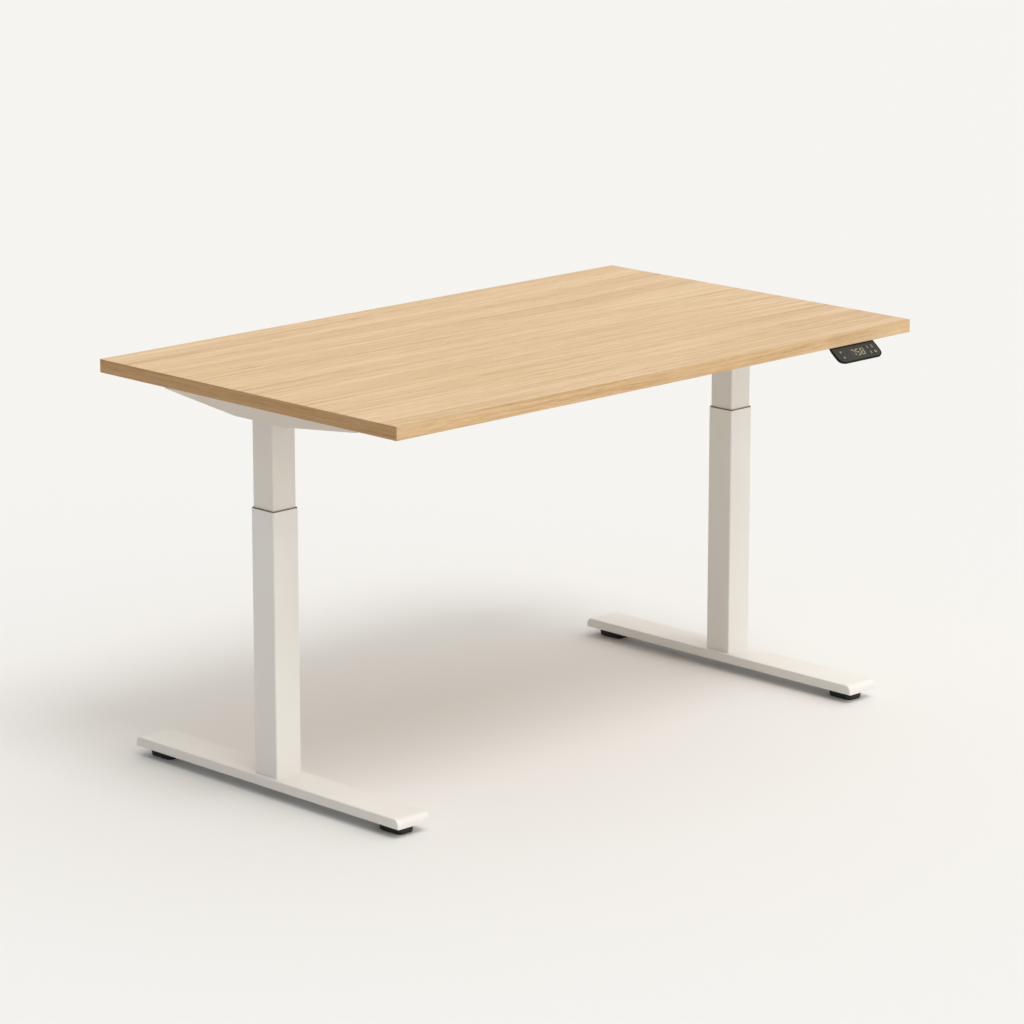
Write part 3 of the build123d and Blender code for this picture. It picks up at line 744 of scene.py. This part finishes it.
def roundedOutline(halfX, halfY, radius, count):
    # outline of a rounded rectangle by the way run round it: in each quarter half a side, the
    # corner's arc and half the next side; every other quarter is run the other way and mirrored
    angle = np.linspace(0, 2 * np.pi, count, endpoint=False) + np.pi / count
    radius = min(radius, halfX, halfY)
    inner = np.array((halfX - radius, halfY - radius))
    arc = radius * np.pi / 2
    length = inner.sum() + arc
    quarter = (angle // (np.pi / 2)).astype(int) % 4
    run = angle % (np.pi / 2) / (np.pi / 2) * length
    run = np.where(quarter % 2 == 1, length - run, run)
    turn = np.clip((run - inner[1]) / max(arc, shapeLook["tiny"]), 0, 1) * np.pi / 2
    x = inner[0] + radius * np.cos(turn) - np.clip(run - inner[1] - arc, 0, None)
    y = np.minimum(run, inner[1]) + radius * np.sin(turn)
    signs = np.array(((1, 1), (-1, 1), (-1, -1), (1, -1)))[quarter]
    return np.stack((x, y), -1) * signs


def nodePoints(name):
    mesh = nodes[name].data
    flat = np.empty(len(mesh.vertices) * 3)
    mesh.vertices.foreach_get("co", flat)
    return flat.reshape(-1, 3)


def islands(name):
    # the separate solids of a node: points at one place are merged, then each triangle passes
    # its lowest label on until nothing changes
    mesh = nodes[name].data
    points = nodePoints(name)
    places = np.round(points, shapeLook["digits"])
    merged = np.unique(places, axis=0, return_inverse=True)[1].reshape(-1)
    corners = np.empty(len(mesh.loops), int)
    mesh.loops.foreach_get("vertex_index", corners)
    triangles = merged[corners].reshape(-1, 3)
    label = np.arange(merged.max() + 1)
    while True:
        lowest = label[triangles].min(1)
        spread = label.copy()
        for corner in range(3):
            np.minimum.at(spread, triangles[:, corner], lowest)
        if (spread == label).all():
            break
        label = spread
    pointLabel = label[merged]
    return [points[pointLabel == value] for value in np.unique(pointLabel)]


print("shape helpers ready")


# levelling pads: a drafted rubber shoe with a grooved tread, a waist under the collar and a stud
padLook = {
    "outline": 96,
    "rounding": 0.0140,
    "leastRounding": 0.002,
    "draft": 0.0030,  # how far the sole is drawn in
    "soleRound": 0.0030,
    "soleRings": 6,
    "grooves": 4,
    "grooveStart": 0.25,  # shares of one groove's room
    "grooveWidth": 0.35,
    "grooveSlope": 0.0004,
    "grooveDepth": 0.0010,
    "plainMiddle": 0.006,
    # waist and collar: how far each ring is drawn in and how far it is under the pad's top
    "collar": (
        (0.00135, 0.0056),
        (0.0019, 0.0049),
        (0.00145, 0.0042),
        (0.0, 0.0036),
        (0.0, 0.0012),
        (0.0004, 0.0004),
        (0.0012, 0.0),
    ),
    "studRings": 90,
    "studFillet": 0.0012,
    "studTaper": 0.0012,
    "tipDrawnIn": 0.0006,
    "pitch": 0.00125,
    "threadDepth": 0.00045,
}
padTop = float(min(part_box("left_foot")[0].z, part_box("right_foot")[0].z))


def padProfile(halfWidth):
    # insets and heights from the sole's middle out and up: the tread steps between the sole and
    # the grooves' bottoms, then come the sole's rounded edge, the drafted wall and the collar
    look = padLook
    soleIn = look["draft"] + look["soleRound"]
    room = (halfWidth - soleIn - look["plainMiddle"]) / look["grooves"]
    tread = []
    for groove in range(look["grooves"]):
        near = soleIn + room * (groove + look["grooveStart"])
        far = near + room * look["grooveWidth"]
        tread += [
            (near, 0.0),
            (near + look["grooveSlope"], look["grooveDepth"]),
            (far, look["grooveDepth"]),
            (far + look["grooveSlope"], 0.0),
        ]
    turn = np.linspace(0, np.pi / 2, look["soleRings"])
    edge = zip(soleIn - look["soleRound"] * np.sin(turn), look["soleRound"] * (1 - np.cos(turn)))
    collar = [(inset, padTop - under) for inset, under in look["collar"]]
    return [*reversed(tread), *edge, *collar]


def studRings(radius, top):
    # rings by angle whose radius follows a thread, one turn per pitch, and tapers at the tip
    look = padLook
    angle = np.linspace(0, 2 * np.pi, look["outline"], endpoint=False) + np.pi / look["outline"]
    heights = np.linspace(padTop, top, look["studRings"])[:, None]
    phase = (heights / look["pitch"] - angle[None] / (2 * np.pi)) % 1
    taper = np.clip((top - heights) / look["studTaper"], 0, 1)
    ridge = np.abs(phase * 2 - 1) * taper
    radii = radius - look["threadDepth"] * (1 - ridge) - look["tipDrawnIn"] * (1 - taper)
    radii[0] = radius + look["studFillet"]
    heights = np.broadcast_to(heights, radii.shape)
    return np.stack((radii * np.cos(angle), radii * np.sin(angle), heights), -1)


def makePads():
    look = padLook
    for name in [node for node in nodes if node.endswith("_glide")]:
        points = nodePoints(name)
        low, high = points.min(0), points.max(0)
        middle = ((low + high) / 2)[:2]
        halfX, halfY = (high - low)[:2] / 2
        stud = points[points[:, 2] > high[2] - shapeLook["level"]][:, :2] - middle
        rings = []
        for inset, height in padProfile(min(halfX, halfY)):
            rounding = max(look["rounding"] - inset, look["leastRounding"])
            flat = roundedOutline(halfX - inset, halfY - inset, rounding, look["outline"])
            rings.append(np.column_stack((flat, np.full(len(flat), height))))
        studRadius = np.linalg.norm(stud, axis=1).max()
        rings = np.concatenate((np.array(rings), studRings(studRadius, high[2])))
        rings[..., :2] += middle
        piece = makePiece(
            name.replace("_glide", "Pad").replace("_", ""),
            [closedSkin(rings)],
            finishes["glide_rubber"],
            bodyOf[name],
        )
        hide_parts(name)


makePads()
print("pads moulded")


# screws, worked out from each solid's own points: a head with a driver recess and a threaded
# shank; way is where the head points, dome the crown's height over the head's
screwKinds = {
    "foot_screws": {"way": "down", "drive": "hex", "dome": 0.10, "pitch": 0.00125},
    "bracket_screws": {"way": "down", "drive": "cross", "dome": 0.55, "pitch": 0.0022},
    "control_box_screws": {"way": "down", "drive": "cross", "dome": 0.55, "pitch": 0.0022},
    "handset_screws": {"way": "down", "drive": "cross", "dome": 0.55, "pitch": 0.0022},
    "column_head_screws": {"way": "up", "drive": "hex", "dome": 0.0, "pitch": 0.00125},
    "rail_screws": {"way": "outward", "drive": "hex", "dome": 0.35, "pitch": 0.0010},
}
screwLook = {
    "around": 48,
    "recessShare": 0.46,  # the driver recess's reach over the head's radius
    "crossArm": 0.21,  # half an arm's width over the reach
    "recessDepth": 0.62,  # over the head's height
    "recessAspect": 1.1,  # the most the recess is deep, over its reach
    # the recess from its floor up: shares of its radius, of its depth and of the head's height
    "recessRows": ((0.55, 1.0, 0.0), (0.88, 0.72, 0.0), (0.99, 0.0, 0.05), (1.04, 0.0, 0.0)),
    "lipDrop": 0.12,  # over the dome's height
    "crownInner": 1.1,  # over the recess's reach
    "crownStart": 0.15,
    "crownRings": 9,
    "crownDip": 0.02,
    "bevelIn": 0.0002,
    "bevelUp": 0.0004,
    "plainShank": 0.0025,
    "leastThread": 0.002,
    "shortScrew": 0.005,  # a shank shorter than this is plain only a little way
    "shortPlain": 0.001,
    "threadDepth": 0.16,  # over the shank's radius
    "turnsShown": 14,
    "ringsPerTurn": 6,
    "leastRings": 8,
    "pointLength": 1.2,  # over the shank's radius
    "pointEnd": {"cross": 0.35, "hex": 0.8},
}


def recessRadius(kind, angle, reach):
    # hexagon: the flat's distance over the cosine from its middle; cross: the nearer of an
    # arm's end and its side, by direction
    if kind == "hex":
        return reach * math.cos(math.pi / 6) / np.cos((angle % (np.pi / 3)) - np.pi / 6)
    longer = np.maximum(np.abs(np.cos(angle)), np.abs(np.sin(angle)))
    shorter = np.minimum(np.abs(np.cos(angle)), np.abs(np.sin(angle)))
    arm = reach * screwLook["crossArm"]
    return np.minimum(reach / longer, arm / np.maximum(shorter, shapeLook["tiny"]))


def screwFrame(solid, way):
    # the solid's middle and three directions; the last one points out of the head
    if way == "outward":
        axis = np.array((-np.sign(solid[:, 0].mean()), 0, 0))
    else:
        axis = np.array((0, 0, -1.0 if way == "down" else 1.0))
    sideways = np.array((0, 1.0, 0))
    middle = (solid.min(0) + solid.max(0)) / 2
    return middle, np.array((sideways, np.cross(axis, sideways), axis))


def screwSkin(solid, kind):
    # rows of radii and heights are worked out along the axis and then turned into place
    look, level = screwLook, shapeLook["level"]
    sunk = kind["way"] == "up"  # the column head's screws are countersunk, the others have a seat
    middle, directions = screwFrame(solid, kind["way"])
    local = (solid - middle) @ directions.T
    top, tip = local[:, 2].max(), local[:, 2].min()
    away = np.linalg.norm(local[:, :2], axis=1)
    headRadius = away.max()
    rim = away[local[:, 2] > top - level].max()
    shankRadius = away[local[:, 2] < tip + level].max()
    seat = local[np.abs(away - shankRadius) < 2 * level, 2].max()
    headHeight = top - seat
    angle = np.linspace(0, 2 * np.pi, look["around"], endpoint=False)
    reach = headRadius * look["recessShare"]
    recess = recessRadius(kind["drive"], angle, reach)
    depth = min(headHeight * look["recessDepth"], reach * look["recessAspect"])
    radii, heights = [], []

    def row(radius, height):
        radii.append(np.broadcast_to(radius, angle.shape))
        heights.append(height)

    domed = headHeight * kind["dome"]
    lip = top - domed * look["lipDrop"]
    for wide, deep, low in look["recessRows"]:
        row(recess * wide, lip - depth * deep - headHeight * low)
    # the head's crown: an ellipse's quarter from the recess to the side
    inner = reach * look["crownInner"]
    for share in np.linspace(look["crownStart"], 1, look["crownRings"]):
        drop = 1 - math.cos(share * math.pi / 2) + look["crownDip"] * (1 - share)
        row(inner + (rim - inner) * math.sin(share * math.pi / 2), top - domed * drop)
    if sunk:
        row(headRadius, top)
    else:
        row(headRadius, seat + look["bevelUp"])
        row(headRadius - look["bevelIn"], seat)
    row(shankRadius, seat)
    # the shank: its radius falls by the thread's depth between ridges, one turn per pitch
    if seat - tip > look["shortScrew"]:
        threadTop = max(seat - look["plainShank"], tip + look["leastThread"])
    else:
        threadTop = seat - look["shortPlain"]
    threadTop = min(threadTop, tip + kind["pitch"] * look["turnsShown"])
    row(shankRadius, threadTop)
    turns = (threadTop - tip) / kind["pitch"]
    steps = max(int(turns * look["ringsPerTurn"]), look["leastRings"])
    for height in np.linspace(threadTop, tip, steps)[1:]:
        phase = (height / kind["pitch"] + angle / (2 * np.pi)) % 1
        ease = min((threadTop - height) / kind["pitch"], 1.0)
        cutIn = look["threadDepth"] * ease * (1 - np.abs(phase * 2 - 1))
        point = (height - tip) / (shankRadius * look["pointLength"])
        row(shankRadius * np.clip(point, look["pointEnd"][kind["drive"]], 1) * (1 - cutIn), height)
    radii, heights = np.array(radii), np.array(heights)[:, None]
    heights = np.broadcast_to(heights, radii.shape)
    turned = np.stack((radii * np.cos(angle), radii * np.sin(angle), heights), -1)
    return closedSkin(middle + turned @ directions)


def makeScrews():
    for name, kind in screwKinds.items():
        piece = makePiece(
            camelName(name.split("_")),
            [screwSkin(solid, kind) for solid in islands(name)],
            finishes["screw_steel"],
            bodyOf[name],
        )
        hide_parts(name)


makeScrews()
print("screws turned")


# connectors and vents of the control box: flat blades in the mains inlet, two rows of square
# contacts in each socket and low rounded ribs under the cover
boxLook = {
    "bladeHalf": (0.0010, 0.0020),  # half across the desk and half upright
    "bladeSpread": 0.0070,
    "bladeLift": 0.0022,  # the outer blades above the middle one
    "bladeShort": 0.0050,  # how far the tips stop inside the opening
    "contactHalf": 0.00032,
    "contactRows": (-0.0013, 0.0013),
    "contactPlaces": (-0.0030, -0.0010, 0.0010, 0.0030),
    "contactShort": 0.0024,
    "pinOutline": 24,
    "pinRounding": 0.35,  # corner radius over the narrower half
    "tip": 0.0008,
    "tipPlaces": (1.0, 0.4, 0.0),  # rings over the tip's length, and the section's size at each
    "tipSizes": (1.0, 0.88, 0.6),
    "sink": 0.0006,  # how far a foot goes into the wall behind it
    "ribHalf": 0.0011,
    "ribHeight": 0.0009,
    "ribLength": 0.062,
    "ribPitch": 0.0052,
    "ribCount": 17,
    "ribShift": 0.026,  # from the cover's middle, away from the connectors
    "ribRings": 41,
    "ribAround": 20,
    "ribEnd": 0.04,  # the least a rib's end is pinched to
}


def pinSkin(foot, tip, middle, half):
    # a bar along X: a rounded rectangle that shrinks over its tip
    look = boxLook
    outline = roundedOutline(*half, min(half) * look["pinRounding"], look["pinOutline"])
    slope = look["tip"] * np.sign(tip - foot)
    places = np.array((foot, *(tip - slope * share for share in look["tipPlaces"])))
    sizes = np.array((1.0, *look["tipSizes"]))[:, None]
    rings = np.empty((len(places), len(outline), 3))
    rings[..., 0] = places[:, None]
    rings[..., 1] = middle[0] + sizes * outline[None, :, 0]
    rings[..., 2] = middle[1] + sizes * outline[None, :, 1]
    return closedSkin(rings)


def makeConnectors():
    look = boxLook
    holes = frame["record"]["physics"]["openings"]
    openings = {hole["name"]: np.array(hole["box_m"]) for hole in holes}
    low, high = openings["mains_inlet_recess"]
    ends = (high[0] + look["sink"], low[0] + look["bladeShort"])
    blades = []
    for place in (-1, 0, 1):
        lift = look["bladeLift"] if place else -look["bladeLift"]
        middle = (low + high)[1:] / 2 + (place * look["bladeSpread"], lift)
        blades.append(pinSkin(*ends, middle, look["bladeHalf"]))
    makePiece(
        "inletBlades", blades, finishes["bare_steel"], bodyOf["mains_inlet"]
    )
    contacts = []
    for name in ("left_motor_socket", "right_motor_socket", "handset_socket"):
        low, high = openings[name]
        ends = (high[0] + look["sink"], low[0] + look["contactShort"])
        for row in look["contactRows"]:
            for place in look["contactPlaces"]:
                middle = (low + high)[1:] / 2 + (place, row)
                contacts.append(pinSkin(*ends, middle, (look["contactHalf"],) * 2))
    makePiece("socketContacts", contacts, contactGold, bodyOf["control_sockets"])


def makeVentRibs():
    # each rib is an ellipse across with its upper half in the cover, carried along Y and
    # pinched round at both ends
    look = boxLook
    low, high = (np.array(corner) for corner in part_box("control_box_cover"))
    middle = (low + high) / 2
    half = look["ribLength"] / 2
    along = np.sin(np.linspace(-1, 1, look["ribRings"]) * np.pi / 2)[:, None] * half
    room = np.clip((half - np.abs(along)) / look["ribHalf"], 0, 1)
    pinch = np.sqrt(np.clip(1 - (1 - room) ** 2, look["ribEnd"] ** 2, 1))
    turn = np.linspace(0, 2 * np.pi, look["ribAround"], endpoint=False)[None]
    ribs = []
    for place in np.arange(look["ribCount"]) - (look["ribCount"] - 1) / 2:
        rings = np.empty((look["ribRings"], look["ribAround"], 3))
        across = middle[0] + look["ribShift"] + place * look["ribPitch"]
        rings[..., 0] = across + pinch * np.cos(turn) * look["ribHalf"]
        rings[..., 1] = middle[1] + along
        rings[..., 2] = low[2] + pinch * np.sin(turn) * look["ribHeight"]
        ribs.append(closedSkin(rings))
    makePiece(
        "coverRibs", ribs, finishes["box_plastic"], bodyOf["control_box_cover"]
    )


makeConnectors()
makeVentRibs()
print("control box fitted out")


# marks on the hand control: fine raised strokes of pale ink on the keys and over the window
markLook = {
    "stroke": 0.0009,
    "height": 0.00006,
    "figureStroke": 0.0014,
    "figureHeight": 0.0142,
    "figureWidth": 0.0080,
    "figurePitch": 0.0126,
    "figureLean": 0.10,
    "figures": "75.8",
    "segmentGap": 0.55,  # a segment's end stops this share of a stroke short of the corner
    "pointHalf": 0.0004,
    "keyMarkSize": 0.0066,
    "around": 12,
    "endRings": 5,
    "stride": 0.22,  # between rings, over the stroke's width
    "leastRings": 10,
    "digits": 7,
    "endPinch": 0.03,  # the least a stroke's end is pinched to
    "buried": 0.3,  # depth under the face over the height above it
}
pressing = next(joint for joint in frame["joints"] if joint["name"] == "key_up_press")
outward = -np.array(pressing["axis"], float)
outward /= np.linalg.norm(outward)
rightward = np.array((1.0, 0, 0))
upSlope = np.cross(outward, rightward)
# the figures' seven segments, as ends in a unit box
segments = {
    "a": ((0, 1), (1, 1)),
    "b": ((1, 1), (1, 0.5)),
    "c": ((1, 0.5), (1, 0)),
    "d": ((0, 0), (1, 0)),
    "e": ((0, 0.5), (0, 0)),
    "f": ((0, 1), (0, 0.5)),
    "g": ((0, 0.5), (1, 0.5)),
}
figureSegments = {"7": "abc", "5": "acdfg", "8": "abcdefg"}


def faceCentre(node):
    # middle of the node's outermost plane, as places across and up the slope, and its level
    points = nodePoints(node)
    level = points @ outward
    top = points[level > level.max() - 5 * shapeLook["level"]]
    across, up = top @ rightward, top @ upSlope
    return (across.min() + across.max()) / 2, (up.min() + up.max()) / 2, level.max()


def strokeSkin(path, width, level):
    # a low rounded bead: an ellipse across, shallower under the face, carried along a path and
    # pinched round at both ends
    look = markLook
    path = np.array(path, float)
    steps = np.linalg.norm(np.diff(path, axis=0), axis=1)
    lengths = np.concatenate(([0], np.cumsum(steps)))
    total, half = lengths[-1], width / 2
    count = max(int(total / (width * look["stride"])), look["leastRings"])
    ends = (1 - np.cos(np.linspace(0, np.pi / 2, look["endRings"]))) * half
    between = np.linspace(half, total - half, count)
    # rounded, so that no two places fall on one another
    places = np.concatenate((ends, total - ends, between))
    places = np.unique(np.round(places, look["digits"]))
    line = np.stack([np.interp(places, lengths, path[:, axis]) for axis in range(2)], -1)
    heading = np.gradient(line, places, axis=0)
    heading /= np.linalg.norm(heading, axis=1)[:, None]
    normal = np.stack((-heading[:, 1], heading[:, 0]), -1)
    room = np.clip(np.minimum(places, total - places) / half, 0, 1)
    pinch = np.sqrt(np.clip(1 - (1 - room) ** 2, look["endPinch"] ** 2, 1))[:, None]
    turn = np.linspace(0, 2 * np.pi, look["around"], endpoint=False)[None]
    rise = np.sin(turn) * look["height"] * np.where(np.sin(turn) > 0, 1, look["buried"])
    flat = line[:, None] + normal[:, None] * (pinch * np.cos(turn) * half)[..., None]
    lift = (level + pinch * rise)[..., None]
    return closedSkin(flat[..., :1] * rightward + flat[..., 1:] * upSlope + lift * outward)


def arcPath(centre, radius, start, stop, count=24):
    angle = np.radians(np.linspace(start, stop, count))
    return np.stack((centre[0] + radius * np.cos(angle), centre[1] + radius * np.sin(angle)), -1)


# each key's strokes in a unit square round its middle
keyMarks = {
    "key_up": [[(-0.75, -0.15), (0, 0.6), (0.75, -0.15)], [(0, 0.5), (0, -0.75)]],
    "key_down": [[(-0.75, 0.15), (0, -0.6), (0.75, 0.15)], [(0, -0.5), (0, 0.75)]],
    "key_preset_1": [
        [(-0.4, 0.45), (0.05, 0.85), (0.05, -0.85)],
        [(-0.45, -0.85), (0.5, -0.85)],
    ],
    "key_preset_2": [[*arcPath((0, 0.35), 0.5, 160, -35), (-0.55, -0.85), (0.6, -0.85)]],
    "key_preset_3": [
        arcPath((-0.05, 0.42), 0.42, 150, -80),
        arcPath((-0.05, -0.42), 0.46, 80, -150),
    ],
    "key_memory": [
        arcPath((0, 0), 0.72, 0, 359, 48),
        [(-0.32, 0), (0.32, 0)],
        [(0, -0.32), (0, 0.32)],
    ],
}


def markKeys():
    look = markLook
    for key in [node for node in nodes if node.startswith("key_")]:
        across, up, level = faceCentre(key)
        strokes = []
        for stroke in keyMarks[key]:
            path = np.array(stroke, float) * look["keyMarkSize"] / 2 + (across, up)
            strokes.append(strokeSkin(path, look["stroke"], level))
        name = camelName(["mark", *key.split("_")[1:]])
        makePiece(name, strokes, markInk, bodyOf[key])


def markWindow():
    # the figures lean: each point moves right by its height times the lean
    look = markLook
    across, up, level = faceCentre("handset_display")
    size = np.array((look["figureWidth"], look["figureHeight"]))
    pitches = sum(1 for sign in look["figures"] if sign != ".") - 1
    left = across - pitches * look["figurePitch"] / 2 - size[0] / 2
    base = up - size[1] / 2
    gap = look["figureStroke"] * look["segmentGap"]
    strokes = []
    for sign in look["figures"]:
        if sign == ".":
            dot = left - (look["figurePitch"] - size[0]) / 2
            path = [(dot - look["pointHalf"], base), (dot + look["pointHalf"], base)]
            strokes.append(strokeSkin(path, look["figureStroke"], level))
            continue
        for segment in figureSegments[sign]:
            ends = np.array(segments[segment], float) * size
            way = (ends[1] - ends[0]) / np.linalg.norm(ends[1] - ends[0])
            ends += np.array((gap * way, -gap * way))
            ends[:, 0] += ends[:, 1] * look["figureLean"]
            strokes.append(strokeSkin(ends + (left, base), look["figureStroke"], level))
        left += look["figurePitch"]
    makePiece("windowFigures", strokes, markInk, bodyOf["handset_display"])


markKeys()
markWindow()
print("hand control marked")
